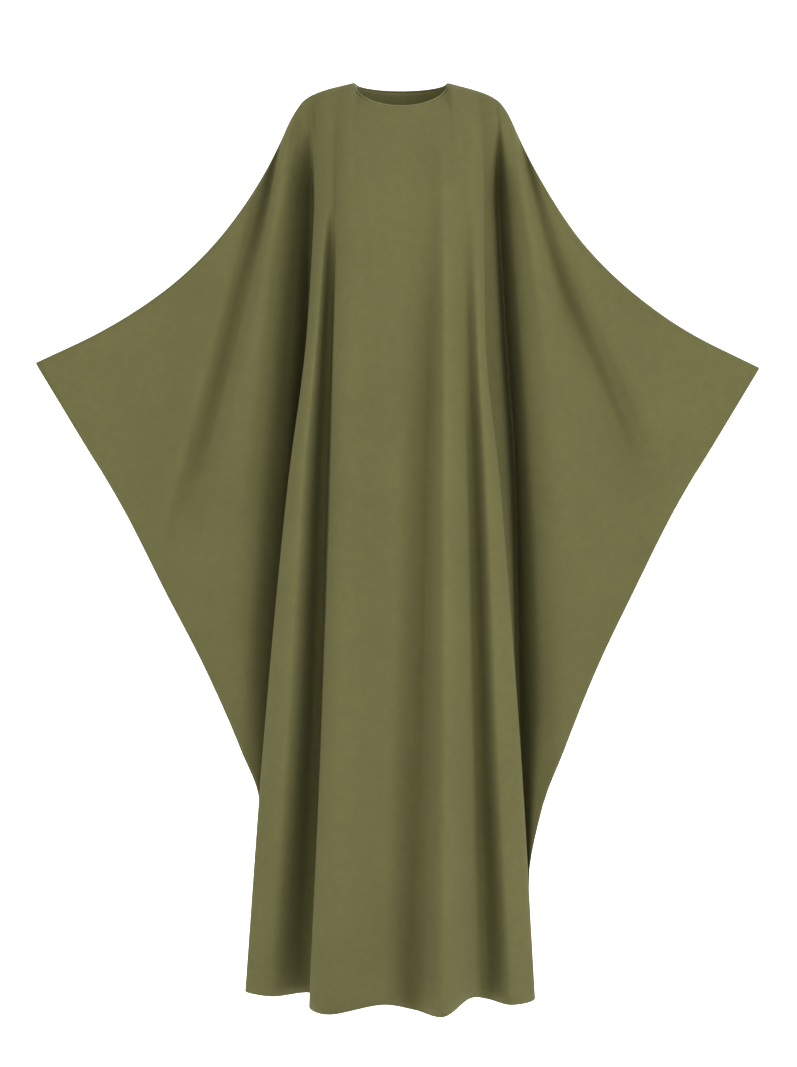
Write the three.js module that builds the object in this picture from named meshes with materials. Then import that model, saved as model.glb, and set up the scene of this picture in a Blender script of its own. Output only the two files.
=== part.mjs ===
import * as THREE from "three";

// An abaya with butterfly sleeves, as it hangs when worn, open and empty inside.
// Millimetres. X is the wearer's left, the front faces -Y and Z is up.
// The origin is the middle of the neck opening, level with the top of the shoulders.

const wall = 2;
const seamGap = 0.36;
const seamHalf = wall + seamGap / 2;
const neckHalfWidth = 76;
const neckDropFront = 54;
const neckReachFront = 75;
const neckReachBack = 54;
const shoulderDrop = 24;
const chestLevel = -200;
const hemLevel = -1455;
const bindingThick = 3.2;
const bindingWide = 3;
const bindingSides = 8;
const bindingGap = 1.1;
const bindingRise = 55;
const upperRows = 8;
const lowerRows = 16;
const oliveCloth = 0x6c6842;
const oliveEdge = 0x7d7953;

// A table is a row of column names and rows of values.
function table(names, rows) {
  const keys = names.split(" ");
  return rows.map((row) => Object.fromEntries(row.map((value, i) => [keys[i], value])));
}

// Shoulder and overarm line, out from the neck and down.
const armLine = {
  right: table("out drop", [
    [76, 0], [100, 5], [123, 11], [142, 18], [156, 28], [168, 45], [184, 75], [215, 138],
    [255, 202], [307, 266], [377, 330], [476, 394], [584, 446],
  ]),
  left: table("out drop", [
    [76, 0], [100, 6], [123, 12], [141, 19], [156, 29], [168, 45], [183, 75], [213, 138],
    [251, 202], [300, 266], [366, 330], [455, 394], [573, 454],
  ]),
};

// Outer edge of each wing, from its tip down to the hem, and how far back it lies.
const wingEdge = {
  right: table("drop out back", [
    [446, 584, 0], [554, 519, 0], [682, 443, 0], [810, 378, 0], [938, 312, 0],
    [1066, 256, 1], [1146, 228, 8], [1240, 225, 14], [1340, 231, 18], [1450, 236, 20],
  ]),
  left: table("drop out back", [
    [454, 573, 0], [554, 513, 0], [682, 437, 0], [810, 373, 0], [938, 312, 0],
    [1066, 261, 1], [1162, 226, 9], [1282, 205, 16], [1360, 204, 19], [1448, 207, 22],
  ]),
};

// Folds of the wings. Each runs from the overarm line to the outer edge, bowed in to the body.
// The last six columns are depths from the middle plane, in front and behind, on the way down.
const wingFolds = {
  right: table("fold top end bow cells near middle low nearBack middleBack lowBack", [
    ["cuff", 584, 620, 0, 2, 9, 9, 7, 9, 9, 7],
    ["outer", 480, 668, 0, 2, 12, 12, 9, 12, 13, 10],
    ["broad", 390, 708, 0, 2, 14, 15, 11, 14, 17, 12],
    ["inner", 310, 740, 2, 2, 18, 19, 13, 18, 24, 15],
    ["swell", 240, 772, 4, 3, 24, 27, 17, 22, 22, 15],
    ["long valley", 190, 800, 8, 3, 8, 11, 11, 26, 32, 20],
    ["long ridge", 180, 870, 15, 3, 36, 42, 24, 30, 24, 16],
    ["ridge edge", 166, 1062, -7, 3, 34, 42, 24, 30, 26, 18],
    ["root valley", 155, 1150, 8, 3, 8, 5, 5, 34, 40, 26],
  ]),
  left: table("fold top end bow cells near middle low nearBack middleBack lowBack", [
    ["cuff", 573, 625, 0, 2, 9, 9, 7, 9, 9, 7],
    ["outer", 470, 648, 0, 2, 12, 12, 9, 12, 13, 10],
    ["broad", 380, 664, 0, 2, 14, 16, 11, 14, 18, 12],
    ["inner", 290, 680, 4, 2, 20, 24, 13, 20, 24, 15],
    ["lip", 208, 700, 8, 2, 26, 20, 13, 24, 26, 16],
    ["swept valley", 186, 730, 24, 2, 8, 11, 11, 28, 30, 18],
    ["rim", 176, 830, 16, 3, 38, 34, 20, 30, 22, 15],
    ["tall ridge", 166, 1060, -11, 2, 40, 42, 24, 32, 30, 20],
    ["inner edge", 156, 1130, -5, 3, 32, 36, 20, 36, 40, 24],
  ]),
};

// Folds of the body, from the wearer's right to the left. Each has its place on the top edge,
// then its x and y at the chest, ribs, hip, knee and hem, and the height of the hem on it.
const ribsLevel = -400;
const hipLevel = -650;
const kneeLevel = -1050;
const bodyColumns =
  "fold top cells chestX chestY ribsX ribsY hipX hipY kneeX kneeY hemX hemY hemZ";
const frontFolds = table(bodyColumns, [
  ["root right", -148, 3, -141, -3, -147, 12, -167, 16, -180, 10, -236, 18, -1450],
  ["side edge right", -139, 3, -135, -34, -147, -50, -178, -54, -217, -42, -249, -4, -1451],
  ["side ridge", -120, 3, -116, -70, -130, -86, -153, -85, -177, -72, -207, -16, -1456],
  ["valley left", -104, 2, -106, -77, -115, -56, -126, -36, -141, -15, -160, 14, -1458],
  ["valley foot", -96, 2, -100, -79, -109, -56, -119, -34, -131, -13, -147, 14, -1458],
  ["panel edge", -88, 2, -94, -90, -101, -92, -106, -91, -122, -82, -141, -70, -1462],
  ["panel crown", -76, 4, -76, -104, -82, -112, -87, -112, -99, -108, -112, -96, -1463],
  ["centre", -8, 4, -8, -111, -12, -112, -15, -108, -22, -98, -28, -88, -1450],
  ["centre valley", 42, 3, 44, -100, 45, -86, 39, -74, 32, -67, 20, -60, -1465],
  ["centre ridge", 60, 2, 67, -106, 67, -115, 67, -118, 67, -119, 65, -113, -1462],
  ["ridge shoulder", 76, 2, 86, -100, 87, -101, 96, -90, 103, -82, 110, -48, -1450],
  ["side valley", 90, 2, 99, -91, 103, -82, 112, -58, 123, -42, 138, -12, -1461],
  ["hip ridge", 106, 3, 115, -82, 119, -92, 132, -89, 149, -78, 173, -44, -1462],
  ["side edge left", 124, 2, 131, -56, 135, -66, 157, -64, 187, -50, 213, -16, -1460],
  ["tuck", 132, 2, 131, -30, 134, -30, 153, -26, 177, -14, 209, 6, -1450],
  ["side strip", 140, 3, 146, -14, 153, -14, 171, -6, 183, 2, 208, 14, -1449],
  ["root left", 148, 3, 157, -7, 170, 11, 184, 17, 182, 18, 207, 20, -1448],
]);
const backFolds = table(bodyColumns, [
  ["root right", -148, 3, -140, 26, -146, 40, -166, 42, -180, 44, -236, 22, -1450],
  ["side ridge right", -128, 3, -126, 54, -138, 68, -158, 66, -190, 68, -222, 58, -1456],
  ["side valley right", -100, 3, -92, 66, -98, 57, -108, 50, -124, 46, -146, 40, -1457],
  ["back ridge right", -76, 4, -56, 78, -56, 86, -60, 90, -70, 96, -84, 100, -1460],
  ["centre", 0, 4, 0, 74, 2, 74, 0, 70, -6, 64, -8, 58, -1458],
  ["back ridge left", 76, 3, 52, 79, 60, 88, 66, 92, 78, 98, 92, 102, -1460],
  ["hip valley left", 100, 3, 94, 66, 104, 60, 116, 54, 132, 48, 150, 38, -1457],
  ["side ridge left", 130, 3, 125, 52, 134, 64, 150, 64, 172, 66, 198, 58, -1455],
  ["root left", 148, 3, 157, 26, 168, 40, 182, 42, 182, 42, 207, 24, -1448],
]);

// Smooth curve through the points of a table that never overshoots them.
function curve(xs, ys, x) {
  const last = xs.length - 1;
  if (x <= xs[0]) return ys[0];
  if (x >= xs[last]) return ys[last];
  let i = 0;
  while (x > xs[i + 1]) i++;
  const slope = (k) => (ys[k + 1] - ys[k]) / (xs[k + 1] - xs[k]);
  const tangent = (k) => {
    if (k === 0) return slope(0);
    if (k === last) return slope(last - 1);
    const a = slope(k - 1);
    const b = slope(k);
    return a * b <= 0 ? 0 : (2 * a * b) / (a + b);
  };
  const h = xs[i + 1] - xs[i];
  const t = (x - xs[i]) / h;
  const low = (1 + 2 * t) * (1 - t) ** 2 * ys[i] + t * (1 - t) ** 2 * h * tangent(i);
  return low + t * t * (3 - 2 * t) * ys[i + 1] + t * t * (t - 1) * h * tangent(i + 1);
}

function column(rows, key) {
  return rows.map((row) => row[key]);
}

const sideName = (x) => (x < 0 ? "right" : "left");

// Point on the top seam at a signed distance out from the middle, outside the neck.
function seamPoint(x) {
  const rows = armLine[sideName(x)];
  return new THREE.Vector3(x, 0, -curve(column(rows, "out"), column(rows, "drop"), Math.abs(x)));
}

// Point on the outer edge of one wing at a drop below the neck.
function edgePoint(sign, drop) {
  const rows = wingEdge[sideName(sign)];
  const drops = column(rows, "drop");
  const out = curve(drops, column(rows, "out"), drop);
  return new THREE.Vector3(sign * out, curve(drops, column(rows, "back"), drop), -drop);
}

// A row of the grid is an angle over the shoulder above the chest and a share of the drop below it.
const rowCount = upperRows + lowerRows;
const rollShare = (chestLevel + shoulderDrop) / (hemLevel + shoulderDrop);
function rowShare(row) {
  if (row <= upperRows) return rollShare * (1 - Math.cos((row / upperRows) * (Math.PI / 2)));
  return rollShare + ((1 - rollShare) * (row - upperRows)) / lowerRows;
}

// Where a panel starts over the shoulder: on the seam, or further down its face in the neckline.
function startAngle(x, chestY) {
  const inside = Math.sqrt(Math.max(0, 1 - (x / neckHalfWidth) ** 2));
  if (inside === 0) return { angle: 0, top: seamPoint(x).z };
  const reach = chestY < 0 ? neckReachFront : neckReachBack;
  const drop = chestY < 0 ? neckDropFront : 0;
  const angle = Math.asin(Math.min(0.95, (inside * reach) / Math.abs(chestY)));
  return { angle, top: chestLevel - (drop * inside + chestLevel) / Math.cos(angle) };
}

// Point over the shoulder on the way from the top edge to a point on the chest.
function yokePoint(top, chestX, chestY, row) {
  const start = startAngle(top, chestY);
  const share = row / upperRows;
  const turn = start.angle + (Math.PI / 2 - start.angle) * share;
  const slide = share * share * (3 - 2 * share);
  const z = chestLevel + (start.top - chestLevel) * Math.cos(turn);
  return new THREE.Vector3(top + (chestX - top) * slide, chestY * Math.sin(turn), z);
}

function bodyPoint(fold, row) {
  if (row < upperRows) return yokePoint(fold.top, fold.chestX, fold.chestY, row);
  const share = (row - upperRows) / lowerRows;
  const z = chestLevel + (fold.hemZ - chestLevel) * share;
  const drops = [-chestLevel, -ribsLevel, -hipLevel, -kneeLevel, -fold.hemZ];
  const xs = [fold.chestX, fold.ribsX, fold.hipX, fold.kneeX, fold.hemX];
  const ys = [fold.chestY, fold.ribsY, fold.hipY, fold.kneeY, fold.hemY];
  return new THREE.Vector3(curve(drops, xs, -z), curve(drops, ys, -z), z);
}

function wingPoint(fold, sign, face, row) {
  const start = seamPoint(sign * fold.top);
  const end = edgePoint(sign, fold.end);
  const share = rowShare(row);
  const length = start.distanceTo(end);
  const point = start.clone().lerp(end, share);
  point.x -= sign * fold.bow * 4 * share * (1 - share);
  const [near, middle, low] =
    face < 0 ? [fold.near, fold.middle, fold.low] : [fold.nearBack, fold.middleBack, fold.lowBack];
  const depth = curve([0, 0.15, 0.5, 0.85, 1], [near, near, middle, low, seamHalf], share);
  const reach = Math.min(1, (share * length) / Math.max(10, near));
  point.y += face * depth * Math.sqrt(1 - (1 - reach) ** 2);
  return point;
}

// The folds of a whole panel in order, each with its path and the cells up to the next.
function panelFolds(face, bodyRows) {
  const wing = (side, sign) =>
    wingFolds[side].map((fold) => ({
      cells: fold.cells,
      top: sign * fold.top,
      end: fold.end,
      sign,
      at: (row) => wingPoint(fold, sign, face, row),
    }));
  const body = bodyRows.map((fold) => ({
    cells: fold.cells,
    top: fold.top,
    at: (row) => bodyPoint(fold, row),
  }));
  body[0].end = -bodyRows[0].hemZ;
  body[0].sign = -1;
  body[body.length - 1].end = -bodyRows[bodyRows.length - 1].hemZ;
  body[body.length - 1].sign = 1;
  const left = wing("left", 1).reverse();
  left.forEach((fold, i) => {
    fold.cells = left[i + 1] ? left[i + 1].cells : 0;
  });
  body[body.length - 1].cells = wingFolds.left[wingFolds.left.length - 1].cells;
  return [...wing("right", -1), ...body, ...left];
}

// Curve through four points, even where they are unevenly spaced.
function across(p0, p1, p2, p3, t) {
  const knot = (a, b) => Math.max(1e-4, Math.sqrt(a.distanceTo(b)));
  const t1 = knot(p0, p1);
  const t2 = t1 + knot(p1, p2);
  const t3 = t2 + knot(p2, p3);
  const s = t1 + (t2 - t1) * t;
  const mix = (a, b, ta, tb) => {
    const part = (s - ta) / (tb - ta);
    return a.clone().multiplyScalar(1 - part).addScaledVector(b, part);
  };
  const a1 = mix(p0, p1, 0, t1);
  const a2 = mix(p1, p2, t1, t2);
  const a3 = mix(p2, p3, t2, t3);
  return mix(mix(a1, a2, 0, t2), mix(a2, a3, t1, t3), t1, t2);
}

// Outer face of a panel as columns of points. Its top and outer edges lie exactly on the seams.
function panelGrid(face, bodyRows) {
  const folds = panelFolds(face, bodyRows);
  const paths = folds.map((fold) => Array.from({ length: rowCount + 1 }, (_, row) => fold.at(row)));
  const beyond = (path, next) => path.map((p, row) => p.clone().multiplyScalar(2).sub(next[row]));
  const count = folds.length;
  const before = beyond(paths[0], paths[1]);
  const after = beyond(paths[count - 1], paths[count - 2]);
  const columns = [];
  for (let k = 0; k < count; k++) {
    const cells = k < count - 1 ? folds[k].cells : 1;
    for (let c = 0; c < cells; c++) {
      const t = k < count - 1 ? c / cells : 0;
      const next = folds[Math.min(k + 1, count - 1)];
      const here = (row) => {
        if (t === 0) return paths[k][row].clone();
        const prior = k > 0 ? paths[k - 1] : before;
        const later = k + 2 < count ? paths[k + 2] : after;
        return across(prior[row], paths[k][row], paths[k + 1][row], later[row], t);
      };
      const points = Array.from({ length: rowCount + 1 }, (_, row) => here(row));
      const top = folds[k].top + (next.top - folds[k].top) * t;
      const onWing = folds[k].end !== undefined && next.end !== undefined;
      const chest = points[upperRows];
      if (onWing) {
        const lift = seamPoint(top).sub(points[0]);
        for (let row = 0; row < upperRows; row++) {
          points[row].addScaledVector(lift, (1 - row / upperRows) ** 2);
        }
      } else {
        for (let row = 0; row < upperRows; row++) points[row] = yokePoint(top, chest.x, chest.y, row);
      }
      if (Math.abs(top) >= neckHalfWidth) points[0].y = (face * seamGap) / 2;
      if (onWing) {
        const drop = folds[k].end + (next.end - folds[k].end) * t;
        const foot = edgePoint(folds[k].sign, drop);
        foot.y += face * seamHalf;
        foot.sub(points[rowCount]);
        for (let row = 0; row <= rowCount; row++) {
          points[row].addScaledVector(foot, Math.max(0, (row / rowCount) * 4 - 3) ** 2);
        }
      }
      columns.push({ points, top, onWing: onWing || (t === 0 && folds[k].end !== undefined) });
    }
  }
  return columns;
}

// Direction out of the cloth at each point of a grid, with the seams held square to their edges.
function outward(columns, face, i, row) {
  const within = (value, most) => Math.min(most, Math.max(0, value));
  const p = (a, b) => columns[within(a, columns.length - 1)].points[within(b, rowCount)];
  const alongRow = p(i + 1, row).clone().sub(p(i - 1, row));
  if (row === 0 && Math.abs(columns[i].top) >= neckHalfWidth - 0.01) {
    return new THREE.Vector3(-alongRow.z, 0, alongRow.x).normalize();
  }
  if (row === rowCount && columns[i].onWing) return new THREE.Vector3(0, face, 0);
  const down = p(i, row + 1).clone().sub(p(i, row - 1));
  const normal = new THREE.Vector3().crossVectors(alongRow, down).multiplyScalar(face).normalize();
  return row === rowCount ? normal.setZ(0).normalize() : normal;
}

function addFace(indices, a, b, c, d, flip) {
  if (flip) indices.push(a, c, b, a, d, c);
  else indices.push(a, b, c, a, c, d);
}

// Closed sheet of cloth between a grid and the same grid moved in by the wall.
function sheet(columns, face) {
  const rows = rowCount + 1;
  const positions = [];
  const inner = [];
  columns.forEach((line, i) => {
    line.inside = line.points.map((point, row) => {
      return point.clone().addScaledVector(outward(columns, face, i, row), -wall);
    });
    line.points.forEach((point) => positions.push(point.x, point.y, point.z));
    line.inside.forEach((point) => inner.push(point.x, point.y, point.z));
  });
  positions.push(...inner);
  const depth = columns.length * rows;
  const at = (i, row, side) => side * depth + i * rows + row;
  const indices = [];
  const flip = face > 0;
  const last = columns.length - 1;
  for (let i = 0; i < last; i++) {
    for (let row = 0; row < rowCount; row++) {
      for (const side of [0, 1]) {
        const near = [at(i, row, side), at(i, row + 1, side)];
        const far = [at(i + 1, row + 1, side), at(i + 1, row, side)];
        addFace(indices, ...near, ...far, side === 0 ? flip : !flip);
      }
    }
    for (const row of [0, rowCount]) {
      const corners = [at(i, row, 0), at(i + 1, row, 0), at(i + 1, row, 1), at(i, row, 1)];
      addFace(indices, ...corners, row === 0 ? flip : !flip);
    }
  }
  for (let row = 0; row < rowCount; row++) {
    for (const i of [0, last]) {
      const corners = [at(i, row, 0), at(i, row + 1, 0), at(i, row + 1, 1), at(i, row, 1)];
      addFace(indices, ...corners, i === 0 ? !flip : flip);
    }
  }
  return surface(positions, indices);
}

function surface(positions, indices) {
  const geometry = new THREE.BufferGeometry();
  geometry.setAttribute("position", new THREE.Float32BufferAttribute(positions, 3));
  geometry.setIndex(indices);
  geometry.computeVertexNormals();
  return geometry;
}

// Rounded edging on the neckline, worked out from the top edges of both panels.
function binding(front, back) {
  const neck = (columns) =>
    columns
      .filter((line) => Math.abs(line.top) <= neckHalfWidth + 0.01)
      .map((line) => line.points[0].clone().add(line.inside[0]).multiplyScalar(0.5));
  const frontEdge = neck(front);
  const backEdge = neck(back).reverse();
  const loop = [...frontEdge.slice(0, -1), ...backEdge.slice(0, -1)];
  const centre = loop.reduce((sum, p) => sum.add(p), new THREE.Vector3()).divideScalar(loop.length);
  const positions = [];
  const indices = [];
  const count = loop.length;
  loop.forEach((point, i) => {
    const along = loop[(i + 1) % count].clone().sub(loop[(i + count - 1) % count]).normalize();
    const lean = new THREE.Vector3((point.x - centre.x) * 0.6, (point.y - centre.y) * 1.2, bindingRise);
    const out = lean.normalize();
    const inward = new THREE.Vector3().crossVectors(out, along).normalize();
    const up = new THREE.Vector3().crossVectors(along, inward).normalize();
    const middle = point.clone().addScaledVector(inward, bindingGap + bindingWide / 2);
    for (let k = 0; k < bindingSides; k++) {
      const angle = ((k + 0.5) / bindingSides) * 2 * Math.PI;
      const edge = middle
        .clone()
        .addScaledVector(inward, (Math.cos(angle) * bindingWide) / 2)
        .addScaledVector(up, (Math.sin(angle) * bindingThick) / 2);
      positions.push(edge.x, edge.y, edge.z);
    }
    for (let k = 0; k < bindingSides; k++) {
      const j = (i + 1) % count;
      const m = (k + 1) % bindingSides;
      const id = (a, b) => a * bindingSides + b;
      addFace(indices, id(i, k), id(j, k), id(j, m), id(i, m), true);
    }
  });
  return surface(positions, indices);
}

function piece(name, geometry, color, roughness) {
  const material = new THREE.MeshStandardMaterial({ color, roughness, metalness: 0 });
  const mesh = new THREE.Mesh(geometry, material);
  mesh.name = name;
  return mesh;
}

const frontGrid = panelGrid(-1, frontFolds);
const backGrid = panelGrid(1, backFolds);
const group = new THREE.Group();
group.name = "abaya";
group.add(piece("front", sheet(frontGrid, -1), oliveCloth, 0.9));
group.add(piece("back", sheet(backGrid, 1), oliveCloth, 0.9));
group.add(piece("neck_binding", binding(frontGrid, backGrid), oliveEdge, 0.85));

export default group;
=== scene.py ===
import math
import bpy
import numpy as np
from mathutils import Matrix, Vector


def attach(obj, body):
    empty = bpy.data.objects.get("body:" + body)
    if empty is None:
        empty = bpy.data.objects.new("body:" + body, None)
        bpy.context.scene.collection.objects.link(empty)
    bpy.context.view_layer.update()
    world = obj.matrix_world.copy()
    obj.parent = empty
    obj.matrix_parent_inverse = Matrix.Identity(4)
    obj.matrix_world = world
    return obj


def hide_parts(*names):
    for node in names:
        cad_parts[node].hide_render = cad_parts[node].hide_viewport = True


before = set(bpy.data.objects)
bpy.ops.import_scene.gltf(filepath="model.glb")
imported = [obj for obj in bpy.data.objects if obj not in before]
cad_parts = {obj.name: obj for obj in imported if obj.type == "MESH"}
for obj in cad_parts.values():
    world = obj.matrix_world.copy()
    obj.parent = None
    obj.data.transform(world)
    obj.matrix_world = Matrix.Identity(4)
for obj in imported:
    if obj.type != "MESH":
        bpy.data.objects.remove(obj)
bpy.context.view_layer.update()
mm = 0.001

# The view of the photograph: straight at the front, level with the middle of the garment.
viewSettings = {
    "place": (-0.004, -2.8, -0.7192),
    "tilt": math.radians(90),
    "height": 1.707,  # metres of the picture's height at the garment's middle plane
}
cameraData = bpy.data.cameras.new("frontCamera")
cameraData.sensor_width = 36
cameraData.lens = 36 * -viewSettings["place"][1] / viewSettings["height"]
cameraData.clip_end = 60
camera = bpy.data.objects.new("frontCamera", cameraData)
bpy.context.collection.objects.link(camera)
camera.location = viewSettings["place"]
camera.rotation_euler = (viewSettings["tilt"], 0, 0)
bpy.context.scene.camera = camera
print("camera placed")

# Cut and fall of the cloth, in millimetres. X is the wearer's left, the front faces -Y, Z is up.
clothSettings = {
    "wall": 1.3,
    "seamWall": 2.15,  # half the depth of the closed outer seam
    "seamGap": 0.06,
    "neckHalfWidth": 76,
    "neckDropFront": 54,
    "neckReachFront": 75,
    "neckReachBack": 54,
    "chestLevel": -200,
    "levels": (400, 650, 1050),  # drops of the ribs, hip and knee
    "hemLevel": -1455,
    "shoulderDrop": 24,
    "upperRows": 30,
    "lowerRows": 80,
    "fineness": 4,  # columns to each cell of the fold tables
    "wingLevels": (0, 0.15, 0.5, 0.85, 1),  # shares of a wing fold where its depths are given
    "seamEase": 4,  # a wing fold bends to its seam over the last 1/4 of its length
}

# The cloth lies smooth over each shoulder, between two places on the top edge.
easeSettings = {
    "from": {-1: 136, 1: 122},
    "to": 167,
    "highest": -60,  # wholly smooth above this height
    "lowest": -190,  # as in the fold tables below this height
}

# Where the finer creases fade, in turn to the front, and in rows and columns from the edges.
creaseSettings = {
    "pieces": 24,
    "turnedAway": 0.25,
    "turnSpan": 0.4,
    "rowsAtTop": 14,
    "rowsAtHem": 12,
    "columnsAtSide": 10,
    "shortEnds": (0.02, 0.98),
    "fullness": 0.6,
}

# Painted shade and highlight: how the form of the folds is turned into a value that darkens the colour in
# the hollows and lightens it on the crests; the inner face gets a fixed value, a painted light.
paintedShadeSettings = {"reach": 26.0, "depth": 40.0, "inside": 0.4}


def makeTable(names, rows):
    keys = names.split()
    return [dict(zip(keys, row)) for row in rows]


# Shoulder and overarm line, out from the neck and down.
armLine = {
    -1: makeTable("out drop", [
        (76, 0), (100, 5), (123, 11), (142, 18), (156, 28), (168, 45), (184, 75), (215, 138),
        (255, 202), (307, 266), (377, 330), (476, 394), (584, 446),
    ]),
    1: makeTable("out drop", [
        (76, 0), (100, 6), (123, 12), (141, 19), (156, 29), (168, 45), (183, 75), (213, 138),
        (251, 202), (300, 266), (366, 330), (455, 394), (573, 454),
    ]),
}
# Outer edge of each wing, from its tip down to the hem, and how far back it lies.
wingEdge = {
    -1: makeTable("drop out back", [
        (446, 584, 0), (554, 519, 0), (682, 443, 0), (810, 378, 0), (938, 312, 0),
        (1066, 256, 1), (1146, 228, 8), (1240, 225, 14), (1340, 231, 18), (1450, 236, 20),
    ]),
    1: makeTable("drop out back", [
        (454, 573, 0), (554, 513, 0), (682, 437, 0), (810, 373, 0), (938, 312, 0),
        (1066, 261, 1), (1162, 226, 9), (1282, 205, 16), (1360, 204, 19), (1448, 207, 22),
    ]),
}
# Folds of the wings: place on the overarm line, drop on the outer edge, bow in to the body,
# then the depths from the middle plane, in front and behind.
wingColumns = "fold top end bow cells near middle low nearBack middleBack lowBack"
wingFolds = {
    -1: makeTable(wingColumns, [
        ("cuff", 584, 620, 0, 2, 9, 9, 7, 9, 9, 7),
        ("outer", 480, 668, 0, 2, 12, 12, 9, 12, 13, 10),
        ("broad", 390, 708, 0, 2, 14, 15, 11, 14, 17, 12),
        ("inner", 310, 740, 2, 2, 18, 19, 13, 18, 24, 15),
        ("swell", 240, 772, 4, 3, 24, 27, 17, 22, 22, 15),
        ("longValley", 190, 800, 8, 3, 8, 11, 11, 26, 32, 20),
        ("longRidge", 180, 870, 15, 3, 36, 42, 24, 30, 24, 16),
        ("ridgeEdge", 166, 1062, -7, 3, 34, 42, 24, 30, 26, 18),
        ("rootValley", 155, 1150, 8, 3, 8, 5, 5, 34, 40, 26),
    ]),
    1: makeTable(wingColumns, [
        ("cuff", 573, 625, 0, 2, 9, 9, 7, 9, 9, 7),
        ("outer", 470, 648, 0, 2, 12, 12, 9, 12, 13, 10),
        ("broad", 380, 664, 0, 2, 14, 16, 11, 14, 18, 12),
        ("inner", 290, 680, 4, 2, 20, 24, 13, 20, 24, 15),
        ("lip", 208, 700, 8, 2, 26, 20, 13, 24, 26, 16),
        ("sweptValley", 186, 730, 24, 2, 20, 11, 11, 28, 30, 18),
        ("rim", 176, 830, 16, 3, 38, 34, 20, 30, 22, 15),
        ("tallRidge", 166, 1060, -11, 2, 40, 42, 24, 32, 30, 20),
        ("innerEdge", 156, 1130, -5, 3, 32, 36, 20, 36, 40, 24),
    ]),
}
# Folds of the body, from the wearer's right to the left: place on the top edge, then x and y
# at the chest, ribs, hip, knee and hem, and the height of the hem.
bodyColumns = "fold top cells chestX chestY ribsX ribsY hipX hipY kneeX kneeY hemX hemY hemZ"
frontFolds = makeTable(bodyColumns, [
    ("rootRight", -148, 3, -142, 12, -149, 28, -168, 31, -182, 28, -236, 18, -1450),
    ("sideEdgeRight", -139, 3, -135, -34, -147, -50, -178, -54, -217, -42, -249, -4, -1451),
    ("sideRidge", -120, 3, -116, -70, -130, -86, -153, -85, -177, -72, -207, -16, -1456),
    ("valleyLeft", -104, 2, -106, -77, -115, -56, -126, -36, -141, -15, -160, 14, -1458),
    ("valleyFoot", -96, 2, -100, -79, -109, -56, -119, -34, -131, -13, -147, 14, -1458),
    ("panelEdge", -88, 2, -94, -90, -101, -92, -106, -91, -122, -82, -141, -70, -1462),
    ("panelCrown", -76, 4, -76, -104, -82, -112, -87, -112, -99, -108, -112, -96, -1463),
    ("centre", -8, 4, -8, -111, -12, -112, -15, -108, -22, -98, -28, -88, -1450),
    ("centreValley", 42, 3, 44, -100, 45, -90, 39, -79, 32, -69, 20, -60, -1465),
    ("centreRidge", 60, 2, 67, -106, 67, -115, 67, -118, 67, -119, 65, -113, -1462),
    ("ridgeShoulder", 76, 2, 86, -100, 87, -101, 96, -90, 103, -82, 110, -48, -1450),
    ("sideValley", 90, 2, 99, -91, 103, -82, 112, -64, 123, -47, 138, -12, -1461),
    ("hipRidge", 106, 3, 115, -82, 119, -92, 132, -89, 149, -78, 173, -44, -1462),
    ("sideEdgeLeft", 124, 2, 129, -58, 131, -68, 155, -65, 187, -50, 213, -16, -1460),
    ("tuck", 132, 2, 128, -28, 129, -20, 151, -19, 177, -12, 209, 6, -1450),
    ("sideStrip", 140, 3, 147, -10, 156, -4, 172, 0, 183, 4, 208, 14, -1449),
    ("rootLeft", 148, 3, 156, 8, 168, 27, 184, 31, 189, 30, 207, 20, -1448),
])
backFolds = makeTable(bodyColumns, [
    ("rootRight", -148, 3, -140, 26, -146, 40, -166, 42, -180, 44, -236, 22, -1450),
    ("sideRidgeRight", -128, 3, -126, 54, -138, 68, -158, 66, -190, 68, -222, 58, -1456),
    ("sideValleyRight", -100, 3, -92, 66, -98, 57, -108, 50, -124, 46, -146, 40, -1457),
    ("backRidgeRight", -76, 4, -56, 78, -56, 86, -60, 90, -70, 96, -84, 100, -1460),
    ("centre", 0, 4, 0, 74, 2, 74, 0, 70, -6, 64, -8, 58, -1458),
    ("backRidgeLeft", 76, 3, 52, 79, 60, 88, 66, 92, 78, 98, 92, 102, -1460),
    ("hipValleyLeft", 100, 3, 94, 66, 104, 60, 116, 54, 132, 48, 150, 38, -1457),
    ("sideRidgeLeft", 130, 3, 125, 52, 134, 64, 150, 64, 172, 66, 198, 58, -1455),
    ("rootLeft", 148, 3, 157, 26, 168, 40, 182, 42, 182, 42, 207, 24, -1448),
])
# Finer creases, given one by one. Each runs through two ends and a middle point, given as x and z,
# with its softness on either side and its height: troughs are negative, ridges positive.
creaseColumns = "x0 z0 x1 z1 x2 z2 softLow softHigh height"
frontCreases = makeTable(creaseColumns, [
    (42, -250, 34, -700, 24, -1300, 14, 12, 5),
    (101, -260, 113, -700, 134, -1400, 10, 9, 4),
    (-108, -300, -121, -700, -145, -1400, 9, 8, 3),
    (232, -262, 299, -425, 372, -600, 10, 9, -5),
    (-236, -300, -291, -505, -340, -680, 10, 10, -4),
    (-165, -52, -160, -68, -157, -86, 7, 9, -4),
    (-186, -84, -206, -170, -240, -300, 9, 16, -6),
    (-300, -290, -330, -430, -360, -640, 40, 50, -5),
    (-400, -370, -405, -480, -410, -600, 50, 50, 4),
    (-210, -420, -224, -600, -246, -800, 22, 26, -5),
    (330, -330, 322, -520, 330, -700, 40, 50, -5),
    (250, -300, 262, -520, 300, -760, 26, 40, -5),
    (420, -410, 410, -500, 405, -600, 45, 45, 4),
    (-40, -300, -46, -700, -60, -1250, 34, 40, -4),
    (12, -420, 8, -760, 0, -1150, 26, 30, 3),
])
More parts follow.
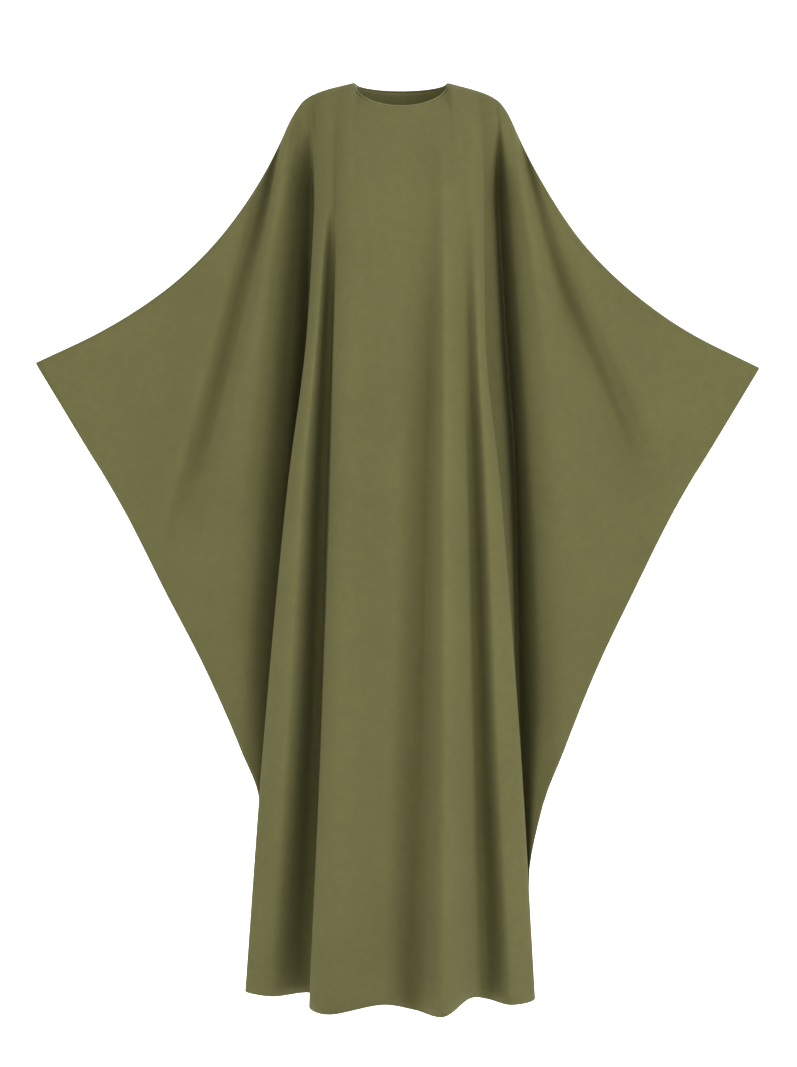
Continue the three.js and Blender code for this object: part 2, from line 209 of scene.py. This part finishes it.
backCreases = makeTable(creaseColumns, [
    (-330, -310, -350, -460, -390, -640, 40, 50, -5),
    (-240, -240, -262, -420, -300, -660, 26, 34, -6),
    (330, -330, 350, -480, 370, -660, 40, 50, -5),
    (232, -230, 256, -420, 292, -660, 26, 34, -6),
    (-28, -330, -34, -760, -46, -1300, 30, 34, -4),
    (34, -300, 40, -760, 48, -1300, 30, 34, 4),
])

upperRows = clothSettings["upperRows"]
lowerRows = clothSettings["lowerRows"]
rowCount = upperRows + lowerRows
chestLevel = clothSettings["chestLevel"]
neckHalfWidth = clothSettings["neckHalfWidth"]


def smoothCurve(xs, ys, at):
    # Cubic through the points of a table that never overshoots them.
    xs, ys, at = (np.asarray(v, float) for v in (xs, ys, at))
    steps = np.diff(ys) / np.diff(xs)
    tangents = np.empty_like(ys)
    tangents[0], tangents[-1] = steps[0], steps[-1]
    product = steps[:-1] * steps[1:]
    total = np.where(steps[:-1] + steps[1:] == 0, 1, steps[:-1] + steps[1:])
    tangents[1:-1] = np.where(product > 0, 2 * product / total, 0)
    at = np.clip(at, xs[0], xs[-1])
    i = np.clip(np.searchsorted(xs, at, side="right") - 1, 0, len(xs) - 2)
    width = xs[i + 1] - xs[i]
    t = (at - xs[i]) / width
    low = (1 + 2 * t) * (1 - t) ** 2 * ys[i] + t * (1 - t) ** 2 * width * tangents[i]
    return low + t * t * (3 - 2 * t) * ys[i + 1] + t * t * (t - 1) * width * tangents[i + 1]


def columnOf(rows, key):
    return [row[key] for row in rows]


def seamPoint(top):
    rows = armLine[-1 if top < 0 else 1]
    return np.array([top, 0, -smoothCurve(columnOf(rows, "out"), columnOf(rows, "drop"), abs(top))])


def edgePoint(sign, drop):
    rows = wingEdge[sign]
    drops = columnOf(rows, "drop")
    out = smoothCurve(drops, columnOf(rows, "out"), drop)
    return np.array([sign * out, smoothCurve(drops, columnOf(rows, "back"), drop), -drop])


rowNumbers = np.arange(rowCount + 1)
upperShares = rowNumbers[:upperRows] / upperRows
lowerShares = (rowNumbers[upperRows:] - upperRows) / lowerRows
shoulderDrop = clothSettings["shoulderDrop"]
rollShare = (chestLevel + shoulderDrop) / (clothSettings["hemLevel"] + shoulderDrop)
rowShares = np.concatenate([rollShare * (1 - np.cos(upperShares * math.pi / 2)),
                            rollShare + (1 - rollShare) * lowerShares])


def yokePath(top, chestX, chestY):
    # Over the shoulder from the top edge, or from the neckline, down to the chest.
    inside = math.sqrt(max(0, 1 - (top / neckHalfWidth) ** 2))
    if inside == 0:
        angle, height = 0, seamPoint(top)[2]
    else:
        reach = clothSettings["neckReachFront" if chestY < 0 else "neckReachBack"]
        drop = clothSettings["neckDropFront"] if chestY < 0 else 0
        angle = math.asin(min(0.95, inside * reach / abs(chestY)))
        height = chestLevel - (drop * inside + chestLevel) / math.cos(angle)
    turn = angle + (math.pi / 2 - angle) * upperShares
    slide = upperShares ** 2 * (3 - 2 * upperShares)
    return np.stack([top + (chestX - top) * slide, chestY * np.sin(turn),
                     chestLevel + (height - chestLevel) * np.cos(turn)], 1)


def bodyPath(fold):
    z = chestLevel + (fold["hemZ"] - chestLevel) * lowerShares
    drops = [-chestLevel, *clothSettings["levels"], -fold["hemZ"]]
    places = ("chest", "ribs", "hip", "knee", "hem")
    x = smoothCurve(drops, [fold[p + "X"] for p in places], -z)
    y = smoothCurve(drops, [fold[p + "Y"] for p in places], -z)
    return np.concatenate([yokePath(fold["top"], fold["chestX"], fold["chestY"]), np.stack([x, y, z], 1)])


def wingPath(fold, sign, face):
    start, end = seamPoint(sign * fold["top"]), edgePoint(sign, fold["end"])
    share = rowShares
    points = start + (end - start) * share[:, None]
    points[:, 0] -= sign * fold["bow"] * 4 * share * (1 - share)
    near, middle, low = [fold[key + ("" if face < 0 else "Back")] for key in ("near", "middle", "low")]
    depths = [near, near, middle, low, clothSettings["seamWall"]]
    depth = smoothCurve(clothSettings["wingLevels"], depths, share)
    reach = np.minimum(1, share * np.linalg.norm(end - start) / max(10, near))
    points[:, 1] += face * depth * np.sqrt(1 - (1 - reach) ** 2)
    return points


def betweenPaths(p0, p1, p2, p3, t):
    # Curve through four paths, row by row, even where they are unevenly spaced.
    def knot(a, b):
        return np.maximum(1e-4, np.sqrt(np.linalg.norm(a - b, axis=1)))[:, None]
    t1 = knot(p0, p1)
    t2 = t1 + knot(p1, p2)
    t3 = t2 + knot(p2, p3)
    s = t1 + (t2 - t1) * t

    def mix(a, b, ta, tb):
        return a * (tb - s) / (tb - ta) + b * (s - ta) / (tb - ta)
    a1, a2, a3 = mix(p0, p1, 0, t1), mix(p1, p2, t1, t2), mix(p2, p3, t2, t3)
    return mix(mix(a1, a2, 0, t2), mix(a2, a3, t1, t3), t1, t2)


def foldList(face, bodyRows):
    folds = []
    for fold in wingFolds[-1]:
        folds.append({"cells": fold["cells"], "top": -fold["top"], "end": fold["end"], "sign": -1,
                      "path": wingPath(fold, -1, face)})
    for fold in bodyRows:
        folds.append({"cells": fold["cells"], "top": fold["top"], "path": bodyPath(fold)})
    first, last = len(wingFolds[-1]), len(folds) - 1
    folds[first].update(end=-bodyRows[0]["hemZ"], sign=-1)
    folds[last].update(end=-bodyRows[-1]["hemZ"], sign=1, cells=wingFolds[1][-1]["cells"])
    leftWing = wingFolds[1][::-1]
    for i, fold in enumerate(leftWing):
        cells = leftWing[i + 1]["cells"] if i + 1 < len(leftWing) else 0
        folds.append({"cells": cells, "top": fold["top"], "end": fold["end"], "sign": 1,
                      "path": wingPath(fold, 1, face)})
    return folds


def panelGrid(face, bodyRows):
    # Outer face of a panel, as columns of points whose ends lie exactly on the seams.
    folds = foldList(face, bodyRows)
    paths = [fold["path"] for fold in folds]
    paths = [2 * paths[0] - paths[1], *paths, 2 * paths[-1] - paths[-2]]
    columns, tops, onWing = [], [], []
    for k, fold in enumerate(folds):
        last = k == len(folds) - 1
        following = fold if last else folds[k + 1]
        cells = 1 if last else fold["cells"] * clothSettings["fineness"]
        for c in range(cells):
            t = c / cells
            points = paths[k + 1].copy() if t == 0 else betweenPaths(*paths[k:k + 4], t)
            top = fold["top"] + (following["top"] - fold["top"]) * t
            wing = "end" in fold and "end" in following
            if wing:
                lift = (seamPoint(top) - points[0])[None] * ((1 - upperShares) ** 2)[:, None]
                points[:upperRows] += lift
                drop = fold["end"] + (following["end"] - fold["end"]) * t
                foot = edgePoint(fold["sign"], drop) + (0, face * clothSettings["seamWall"], 0)
                sharpness = clothSettings["seamEase"]
                ease = np.maximum(0, rowNumbers / rowCount * sharpness - (sharpness - 1)) ** 2
                points += (foot - points[-1])[None] * ease[:, None]
            else:
                chest = points[upperRows]
                points[:upperRows] = yokePath(top, chest[0], chest[1])
            if abs(top) >= neckHalfWidth:
                points[0, 1] = face * clothSettings["seamGap"] / 2
            columns.append(points)
            tops.append(top)
            onWing.append(wing or (t == 0 and "end" in fold))
    return np.array(columns), np.array(tops), np.array(onWing)


def easeShoulders(grid, tops, face):
    # The grooves beside the body open below the shoulders.
    highest, lowest = easeSettings["highest"], easeSettings["lowest"]
    for sign, start in easeSettings["from"].items():
        onSide = np.nonzero((sign * tops >= start) & (sign * tops <= easeSettings["to"]))[0]
        x, y, z = grid[onSide, :, 0], grid[onSide, :, 1], grid[onSide, :, 2]
        share = (x - x[0]) / (x[-1] - x[0])
        straight = y[0] + (y[-1] - y[0]) * share
        weight = np.clip((z - lowest) / (highest - lowest), 0, 1)
        weight = weight * weight * (3 - 2 * weight)
        behind = np.maximum(0, face * (straight - y))
        grid[onSide, :, 1] = y + face * behind * weight
    return grid


def outwardOf(grid, face):
    across = np.gradient(grid, axis=0)
    down = np.gradient(grid, axis=1)
    normals = face * np.cross(across, down)
    return normals / np.maximum(1e-9, np.linalg.norm(normals, axis=2, keepdims=True))


def addCreases(grid, face, creases):
    # Soft troughs and ridges on the cloth that faces out, fading to nothing at the seams.
    facing = face * outwardOf(grid, face)[..., 1] - creaseSettings["turnedAway"]
    facing = np.clip(facing / creaseSettings["turnSpan"], 0, 1)
    x, z = grid[..., 0], grid[..., 2]
    lift = np.zeros_like(x)
    steps = np.linspace(0, 1, creaseSettings["pieces"] + 1)
    for crease in creases:
        ends = [np.array([crease["x%d" % i], crease["z%d" % i]], float) for i in range(3)]
        control = 2 * ends[1] - (ends[0] + ends[2]) / 2
        line = ((1 - steps) ** 2)[:, None] * ends[0] + (2 * steps * (1 - steps))[:, None] * control
        line = line + (steps ** 2)[:, None] * ends[2]
        # The nearest point of the line, on whichever of its pieces that lies.
        spans = np.diff(line, axis=0)
        offsets = np.stack([x, z], -1)[..., None, :] - line[:-1]
        shares = np.clip((offsets * spans).sum(-1) / (spans ** 2).sum(-1), 0, 1)
        gaps = offsets - shares[..., None] * spans
        squared = (gaps ** 2).sum(-1)
        nearest = squared.argmin(-1)[..., None]
        side = np.take_along_axis(gaps[..., 0], nearest, -1)[..., 0]
        place = (nearest + np.take_along_axis(shares, nearest, -1))[..., 0] / len(spans)
        distance = np.sqrt(squared.min(-1))
        soft = np.where(side < 0, crease["softLow"], crease["softHigh"])
        place = np.clip(place, *creaseSettings["shortEnds"])
        along = np.sin(math.pi * place) ** creaseSettings["fullness"]
        lift += crease["height"] * np.exp(-(distance / soft) ** 2) * along
    fromTop = np.minimum(rowNumbers / creaseSettings["rowsAtTop"], 1)
    fromHem = np.minimum((rowCount - rowNumbers) / creaseSettings["rowsAtHem"], 1)
    columnNumbers = np.arange(len(grid))
    fromSide = np.minimum(columnNumbers, len(grid) - 1 - columnNumbers)
    fromSide = np.minimum(fromSide / creaseSettings["columnsAtSide"], 1)
    grid[..., 1] += face * lift * facing * (fromTop * fromHem)[None] * fromSide[:, None]
    return grid


def paintedFoldShading(grid, face):
    # How far each point stands out of the cloth around it: -1 in a deep fold, 1 on a crest. It drives the
    # painted shade in the folds and the painted highlight on the crests.
    steps = np.linalg.norm(np.diff(grid, axis=0), axis=2)
    paintedShadeValue = np.zeros(grid.shape[:2])
    for row in range(grid.shape[1]):
        place = np.concatenate([[0], steps[:, row].cumsum()])
        apart = (place[:, None] - place[None]) / paintedShadeSettings["reach"]
        weight = np.exp(-apart ** 2) * np.gradient(place)[None]
        around = weight @ grid[:, row, 1] / weight.sum(1)
        paintedShadeValue[:, row] = face * (grid[:, row, 1] - around) / paintedShadeSettings["depth"]
    return np.clip(paintedShadeValue, -1, 1)


def clothMesh(name, face, grid, tops, onWing):
    # A closed thin sheet: the outer face, the same face moved in by the wall, and the rim between.
    normals = outwardOf(grid, face)
    along = np.gradient(grid[:, 0], axis=0)
    square = np.stack([-along[:, 2], 0 * along[:, 0], along[:, 0]], 1)
    square /= np.linalg.norm(square, axis=1, keepdims=True)
    onSeam = np.abs(tops) >= neckHalfWidth - 0.01
    normals[onSeam, 0] = square[onSeam]
    normals[:, -1, 2] = 0
    normals[:, -1] /= np.linalg.norm(normals[:, -1], axis=1, keepdims=True)
    normals[onWing, -1] = (0, face, 0)
    inner = grid - normals * clothSettings["wall"]
    count, rows = grid.shape[:2]
    points = np.concatenate([grid.reshape(-1, 3), inner.reshape(-1, 3)]) * mm
    ids = np.arange(count * rows).reshape(count, rows)
    quads = np.stack([ids[:-1, :-1], ids[:-1, 1:], ids[1:, 1:], ids[1:, :-1]], -1).reshape(-1, 4)
    shift = count * rows
    loop = np.concatenate([ids[:, 0], ids[-1, 1:], ids[-2::-1, -1], ids[0, -2:0:-1]])
    after = np.roll(loop, -1)
    rim = np.stack([loop, after, after + shift, loop + shift], 1)
    faces = np.concatenate([quads, quads[:, ::-1] + shift, rim])
    if face > 0:
        faces = faces[:, ::-1]
    mesh = bpy.data.meshes.new(name)
    mesh.from_pydata(points.tolist(), [], faces.tolist())
    mesh.shade_smooth()
    # Lengths along the cloth, for a weave that follows it.
    acrossSteps = np.linalg.norm(np.diff(grid, axis=0), axis=2)
    acrossLength = np.concatenate([np.zeros((1, rows)), acrossSteps]).cumsum(0)
    acrossLength -= acrossLength[count // 2]
    downSteps = np.linalg.norm(np.diff(grid, axis=1), axis=2)
    downLength = np.concatenate([np.zeros((count, 1)), downSteps], 1).cumsum(1)
    flat = np.tile(np.stack([acrossLength, downLength], -1).reshape(-1, 2) * mm, (2, 1))
    uvLayer = mesh.uv_layers.new(name="cloth")
    vertexIds = np.empty(len(mesh.loops), int)
    mesh.loops.foreach_get("vertex_index", vertexIds)
    uvLayer.data.foreach_set("uv", flat[vertexIds].ravel())
    # Painted shade and highlight from the folds on the outer face, and a painted light that brightens the
    # inner face.
    paintedShadeValue = mesh.attributes.new("paintedFoldShading", "FLOAT", "POINT")
    paintedInsideLight = np.full(shift, paintedShadeSettings["inside"])
    paintedShadeValue.data.foreach_set("value", np.concatenate([paintedFoldShading(grid, face).ravel(), paintedInsideLight]))
    return mesh


# Olive crepe: a faint mottling, a pebbled surface and a plain weave, with painted shade in the folds and
# painted highlight on the crests.
crepeSettings = {
    "broadScale": 7,
    "blotchScale": 70,
    "blotchDetail": 8,
    "blotchRoughness": 0.74,
    "broadShare": 0.35,
    "blotchShare": 0.65,
    "pebbleShare": 0.8,
    "weaveShare": 0.12,
    "bumpDistance": 0.0006,
}
clothLook = {
    "deep": (0.0730, 0.0697, 0.0255),
    "light": (0.0857, 0.0816, 0.0306),
    # Painted shade and highlight: colour factors by fold value, darkest in the hollows, dimmer in troughs
    # and on flats, full on the crests.
    "paintedHollowShade": (0.46, 0.44, 0.24),
    "paintedTroughShade": (0.78, 0.77, 0.65),
    "paintedFlatShade": (0.825, 0.825, 0.81),
    "paintedTroughPlace": 0.25,
    "paintedFlatPlace": 0.5,
    "paintedHighlightPlace": 0.68,
    "mottleSpan": (0.36, 0.64),
    "speckle": 0.5,
    "speckleSpan": (0.7, 1.25),
    "roughSpan": (0.82, 0.96),
    "specular": 0.1,
    "sheen": 0.08,
    "sheenRoughness": 0.55,
    "sheenTint": (0.5, 0.48, 0.24),
    "weavePitch": 0.0009,
    "relief": 0.35,
    "lighten": 1.0,
}
edgingLook = {**clothLook, "sheen": 0.4, "lighten": 1.25}


def makeCrepeGroup():
    group = bpy.data.node_groups.new("crepeSurface", "ShaderNodeTree")
    for name, value in (("Pebble Size", 0.0016), ("Weave Pitch", 0.0009), ("Relief", 0.35)):
        socket = group.interface.new_socket(name, in_out="INPUT", socket_type="NodeSocketFloat")
        socket.default_value = value
    group.interface.new_socket("Shade", in_out="OUTPUT", socket_type="NodeSocketFloat")
    group.interface.new_socket("Grain", in_out="OUTPUT", socket_type="NodeSocketFloat")
    group.interface.new_socket("Normal", in_out="OUTPUT", socket_type="NodeSocketVector")
    nodes, links = group.nodes, group.links
    start, end = nodes.new("NodeGroupInput"), nodes.new("NodeGroupOutput")
    place = nodes.new("ShaderNodeTexCoord")
    uv = nodes.new("ShaderNodeUVMap")
    uv.uv_map = "cloth"

    def calculate(kind, a, b):
        node = nodes.new("ShaderNodeMath")
        node.operation = kind
        for socket, value in zip(node.inputs, (a, b)):
            if isinstance(value, (int, float)):
                socket.default_value = value
            else:
                links.new(value, socket)
        return node.outputs[0]

    def noise(scale, detail, roughness=0.5):
        node = nodes.new("ShaderNodeTexNoise")
        node.inputs["Detail"].default_value = detail
        node.inputs["Roughness"].default_value = roughness
        links.new(place.outputs["Object"], node.inputs["Vector"])
        if isinstance(scale, (int, float)):
            node.inputs["Scale"].default_value = scale
        else:
            links.new(scale, node.inputs["Scale"])
        return node.outputs["Fac"]

    settings = crepeSettings
    broad = noise(settings["broadScale"], 2)
    blotch = noise(settings["blotchScale"], settings["blotchDetail"], settings["blotchRoughness"])
    pebble = noise(calculate("DIVIDE", 1, start.outputs["Pebble Size"]), 2)
    separate = nodes.new("ShaderNodeSeparateXYZ")
    links.new(uv.outputs["UV"], separate.inputs[0])
    turns = calculate("DIVIDE", 2 * math.pi, start.outputs["Weave Pitch"])
    warp = calculate("SINE", calculate("MULTIPLY", separate.outputs[0], turns), 0)
    weft = calculate("SINE", calculate("MULTIPLY", separate.outputs[1], turns), 0)
    weave = calculate("MULTIPLY", warp, weft)
    broadPart = calculate("MULTIPLY", broad, settings["broadShare"])
    shade = calculate("ADD", broadPart, calculate("MULTIPLY", blotch, settings["blotchShare"]))
    links.new(shade, end.inputs["Shade"])
    pebblePart = calculate("MULTIPLY", pebble, settings["pebbleShare"])
    grain = calculate("ADD", pebblePart, calculate("MULTIPLY", weave, settings["weaveShare"]))
    links.new(grain, end.inputs["Grain"])
    bump = nodes.new("ShaderNodeBump")
    bump.inputs["Distance"].default_value = settings["bumpDistance"]
    links.new(start.outputs["Relief"], bump.inputs["Strength"])
    links.new(grain, bump.inputs["Height"])
    links.new(bump.outputs["Normal"], end.inputs["Normal"])
    return group


crepeGroup = makeCrepeGroup()


def clothMaterial(name, look):
    material = bpy.data.materials.new(name)
    material.use_nodes = True
    nodes, links = material.node_tree.nodes, material.node_tree.links
    shader = nodes["Principled BSDF"]
    crepe = nodes.new("ShaderNodeGroup")
    crepe.node_tree = crepeGroup
    crepe.inputs["Weave Pitch"].default_value = look["weavePitch"]
    crepe.inputs["Relief"].default_value = look["relief"]
    ramp = nodes.new("ShaderNodeValToRGB")
    for element, place, key in zip(ramp.color_ramp.elements, look["mottleSpan"], ("deep", "light")):
        element.position = place
        element.color = (*[c * look["lighten"] for c in look[key]], 1)
    links.new(crepe.outputs["Shade"], ramp.inputs["Fac"])
    speckle = nodes.new("ShaderNodeMix")
    speckle.data_type = "RGBA"
    speckle.blend_type = "MULTIPLY"
    speckle.inputs[0].default_value = look["speckle"]
    spread = nodes.new("ShaderNodeMapRange")
    spread.inputs["To Min"].default_value, spread.inputs["To Max"].default_value = look["speckleSpan"]
    links.new(crepe.outputs["Grain"], spread.inputs["Value"])
    links.new(ramp.outputs["Color"], speckle.inputs[6])
    links.new(spread.outputs["Result"], speckle.inputs[7])
    # Painted shade and highlight: the fold value darkens the colour in hollows and troughs and leaves it
    # lightest on the crests.
    paintedShadeValue = nodes.new("ShaderNodeAttribute")
    paintedShadeValue.attribute_name = "paintedFoldShading"
    depth = nodes.new("ShaderNodeMapRange")
    depth.inputs["From Min"].default_value = -1
    links.new(paintedShadeValue.outputs["Fac"], depth.inputs["Value"])
    paintedShadeRamp = nodes.new("ShaderNodeValToRGB")
    paintedShadeStops = paintedShadeRamp.color_ramp
    paintedShadeStops.elements[0].color = (*look["paintedHollowShade"], 1)
    paintedShadeStops.elements[1].color = (1, 1, 1, 1)
    paintedShadeStops.elements[1].position = look["paintedHighlightPlace"]
    paintedShadeStops.elements.new(look["paintedTroughPlace"]).color = (*look["paintedTroughShade"], 1)
    paintedShadeStops.elements.new(look["paintedFlatPlace"]).color = (*look["paintedFlatShade"], 1)
    links.new(depth.outputs["Result"], paintedShadeRamp.inputs["Fac"])
    paintedShadeMix = nodes.new("ShaderNodeMix")
    paintedShadeMix.data_type = "RGBA"
    paintedShadeMix.blend_type = "MULTIPLY"
    paintedShadeMix.inputs[0].default_value = 1
    links.new(speckle.outputs[2], paintedShadeMix.inputs[6])
    links.new(paintedShadeRamp.outputs["Color"], paintedShadeMix.inputs[7])
    links.new(paintedShadeMix.outputs[2], shader.inputs["Base Color"])
    rough = nodes.new("ShaderNodeMapRange")
    rough.inputs["To Min"].default_value, rough.inputs["To Max"].default_value = look["roughSpan"]
    links.new(crepe.outputs["Shade"], rough.inputs["Value"])
    links.new(rough.outputs["Result"], shader.inputs["Roughness"])
    links.new(crepe.outputs["Normal"], shader.inputs["Normal"])
    shader.inputs["Specular IOR Level"].default_value = look["specular"]
    shader.inputs["Sheen Weight"].default_value = look["sheen"]
    shader.inputs["Sheen Roughness"].default_value = look["sheenRoughness"]
    shader.inputs["Sheen Tint"].default_value = (*look["sheenTint"], 1)
    return material


oliveCrepe = clothMaterial("oliveCrepe", clothLook)
oliveEdging = clothMaterial("oliveEdging", edgingLook)
print("materials made")

# Front and back panels
grids = {}
panelSettings = {
    "front": {"face": -1, "folds": frontFolds, "creases": frontCreases, "cut": (1.55, 1.51), "area": 1.5},
    "back": {"face": 1, "folds": backFolds, "creases": backCreases, "cut": (1.55, 1.49), "area": 1.11},
}
for panelName, settings in panelSettings.items():
    grid, tops, onWing = panelGrid(settings["face"], settings["folds"])
    grid = easeShoulders(grid, tops, settings["face"])
    grid = addCreases(grid, settings["face"], settings["creases"])
    grids[panelName] = (grid, tops)
    mesh = clothMesh(panelName + "Cloth", settings["face"], grid, tops, onWing)
    panel = bpy.data.objects.new(panelName + "Cloth", mesh)
    bpy.context.collection.objects.link(panel)
    mesh.materials.append(oliveCrepe)
    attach(panel, "root")
    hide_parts(panelName)
    print(panelName, "panel:", len(mesh.polygons), "faces")

# Edging round the neck: a rounded strip swept along the neckline.
edgingSettings = {
    "width": 2.4,
    "thickness": 2.4,
    "gap": 0.12,
    "sides": 12,
    "depthWeight": 1.2,
    "rise": 55,  # how much the edging leans up, against its distance from the middle
}


def neckLoop():
    edges = []
    for name in ("front", "back"):
        grid, tops = grids[name]
        edges.append(grid[np.abs(tops) <= neckHalfWidth + 0.01, 0])
    return np.concatenate([edges[0][:-1], edges[1][::-1][:-1]])


def makeEdgingTree():
    tree = bpy.data.node_groups.new("neckEdging", "GeometryNodeTree")
    tree.interface.new_socket("Geometry", in_out="INPUT", socket_type="NodeSocketGeometry")
    for name, value in (("Width", 0.003), ("Thickness", 0.003)):
        tree.interface.new_socket(name, in_out="INPUT", socket_type="NodeSocketFloat").default_value = value
    tree.interface.new_socket("Sides", in_out="INPUT", socket_type="NodeSocketInt").default_value = 12
    tree.interface.new_socket("Material", in_out="INPUT", socket_type="NodeSocketMaterial")
    tree.interface.new_socket("Geometry", in_out="OUTPUT", socket_type="NodeSocketGeometry")
    nodes, links = tree.nodes, tree.links
    start, end = nodes.new("NodeGroupInput"), nodes.new("NodeGroupOutput")
    circle = nodes.new("GeometryNodeCurvePrimitiveCircle")
    circle.inputs["Radius"].default_value = 0.5
    links.new(start.outputs["Sides"], circle.inputs["Resolution"])
    size = nodes.new("ShaderNodeCombineXYZ")
    links.new(start.outputs["Width"], size.inputs["X"])
    links.new(start.outputs["Thickness"], size.inputs["Y"])
    shape = nodes.new("GeometryNodeTransform")
    links.new(circle.outputs["Curve"], shape.inputs["Geometry"])
    links.new(size.outputs[0], shape.inputs["Scale"])
    sweep = nodes.new("GeometryNodeCurveToMesh")
    links.new(start.outputs["Geometry"], sweep.inputs["Curve"])
    links.new(shape.outputs["Geometry"], sweep.inputs["Profile Curve"])
    smooth = nodes.new("GeometryNodeSetShadeSmooth")
    links.new(sweep.outputs["Mesh"], smooth.inputs["Geometry"])
    realize = nodes.new("GeometryNodeRealizeInstances")
    links.new(smooth.outputs["Geometry"], realize.inputs["Geometry"])
    finish = nodes.new("GeometryNodeSetMaterial")
    links.new(realize.outputs["Geometry"], finish.inputs["Geometry"])
    links.new(start.outputs["Material"], finish.inputs["Material"])
    links.new(finish.outputs["Geometry"], end.inputs["Geometry"])
    return tree


def setInput(modifier, name, value):
    for item in modifier.node_group.interface.items_tree:
        if item.item_type == "SOCKET" and item.in_out == "INPUT" and item.name == name:
            modifier[item.identifier] = value


loop = neckLoop()
along = np.roll(loop, -1, 0) - np.roll(loop, 1, 0)
along /= np.linalg.norm(along, axis=1, keepdims=True)
middle = loop.mean(0)
outX = loop[:, 0] - middle[0]
outY = edgingSettings["depthWeight"] * (loop[:, 1] - middle[1])
outward = np.stack([outX, outY, np.full(len(loop), edgingSettings["rise"])], 1)
outward /= np.linalg.norm(outward, axis=1, keepdims=True)
inward = np.cross(outward, along)
inward /= np.linalg.norm(inward, axis=1, keepdims=True)
centres = loop - outward * clothSettings["wall"] / 2
centres = centres + inward * (edgingSettings["gap"] + edgingSettings["width"] / 2)
curve = bpy.data.curves.new("neckPath", "CURVE")
curve.dimensions = "3D"
spline = curve.splines.new("POLY")
spline.points.add(len(centres) - 1)
spline.use_cyclic_u = True
for point, place in zip(spline.points, centres * mm):
    point.co = (*place, 1)
path = bpy.data.objects.new("neckPath", curve)
bpy.context.collection.objects.link(path)
sweep = path.modifiers.new("edging", "NODES")
sweep.node_group = makeEdgingTree()
setInput(sweep, "Width", edgingSettings["width"] * mm)
setInput(sweep, "Thickness", edgingSettings["thickness"] * mm)
setInput(sweep, "Sides", edgingSettings["sides"])
setInput(sweep, "Material", oliveEdging)
bpy.context.view_layer.update()
evaluated = path.evaluated_get(bpy.context.evaluated_depsgraph_get())
edgingMesh = bpy.data.meshes.new_from_object(evaluated)
bpy.data.objects.remove(path)
edging = bpy.data.objects.new("neckEdging", edgingMesh)
bpy.context.collection.objects.link(edging)
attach(edging, "root")
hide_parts("neck_binding")
print("neck edging:", len(edgingMesh.polygons), "faces")

# Pale studio: a floor that sweeps up behind, and soft light from above and both sides.
studioSettings = {
    "floor": -1.66,
    "front": -6.5,
    "back": 6.5,
    "halfWidth": 8.0,
    "top": 7.0,
    "bend": 1.6,
    "paper": (0.92, 0.92, 0.92),
    "glow": 0.85,
    "skyStrength": 0.28,
    "bendSteps": 24,
    "aim": (0, 0, -0.75),
}


def studioSweep(settings):
    profile = [(settings["front"], settings["floor"])]
    centreY, centreZ = settings["back"] - settings["bend"], settings["floor"] + settings["bend"]
    for i in range(settings["bendSteps"] + 1):
        angle = i / settings["bendSteps"] * math.pi / 2
        y = centreY + settings["bend"] * math.sin(angle)
        profile.append((y, centreZ - settings["bend"] * math.cos(angle)))
    profile.append((settings["back"], settings["top"]))
    points, faces = [], []
    for y, z in profile:
        points += [(-settings["halfWidth"], y, z), (settings["halfWidth"], y, z)]
    for i in range(len(profile) - 1):
        faces.append((2 * i, 2 * i + 1, 2 * i + 3, 2 * i + 2))
    mesh = bpy.data.meshes.new("studioFloor")
    mesh.from_pydata(points, [], faces)
    mesh.shade_smooth()
    floor = bpy.data.objects.new("studioFloor", mesh)
    bpy.context.collection.objects.link(floor)
    paper = bpy.data.materials.new("palePaper")
    paper.use_nodes = True
    shader = paper.node_tree.nodes["Principled BSDF"]
    shader.inputs["Base Color"].default_value = (*settings["paper"], 1)
    shader.inputs["Roughness"].default_value = 0.95
    shader.inputs["Specular IOR Level"].default_value = 0.1
    shader.inputs["Emission Color"].default_value = (1, 1, 1, 1)
    shader.inputs["Emission Strength"].default_value = settings["glow"]
    mesh.materials.append(paper)
    return floor


lightTable = makeTable("name x y z size power", [
    ("keyRight", 2.85, -2.0, 0.5, 2.4, 165),
    ("fillLeft", -2.9, -1.6, 0.2, 2.2, 110),
    ("topSoft", 0.1, -1.7, 2.0, 2.4, 80),
    ("backSoft", 0.6, 3.2, 1.9, 2.4, 120),
])


def addLight(row, aim):
    data = bpy.data.lights.new(row["name"], "AREA")
    data.shape = "SQUARE"
    data.size = row["size"]
    data.energy = row["power"]
    light = bpy.data.objects.new(row["name"], data)
    bpy.context.collection.objects.link(light)
    light.location = (row["x"], row["y"], row["z"])
    light.rotation_euler = (Vector(aim) - light.location).to_track_quat("-Z", "Y").to_euler()


floor = studioSweep(studioSettings)
for row in lightTable:
    addLight(row, studioSettings["aim"])
world = bpy.data.worlds.new("studioAir")
world.use_nodes = True
world.node_tree.nodes["Background"].inputs["Color"].default_value = (1, 1, 1, 1)
world.node_tree.nodes["Background"].inputs["Strength"].default_value = studioSettings["skyStrength"]
bpy.context.scene.world = world
bpy.context.scene.view_settings.view_transform = "Standard"
print("studio set")
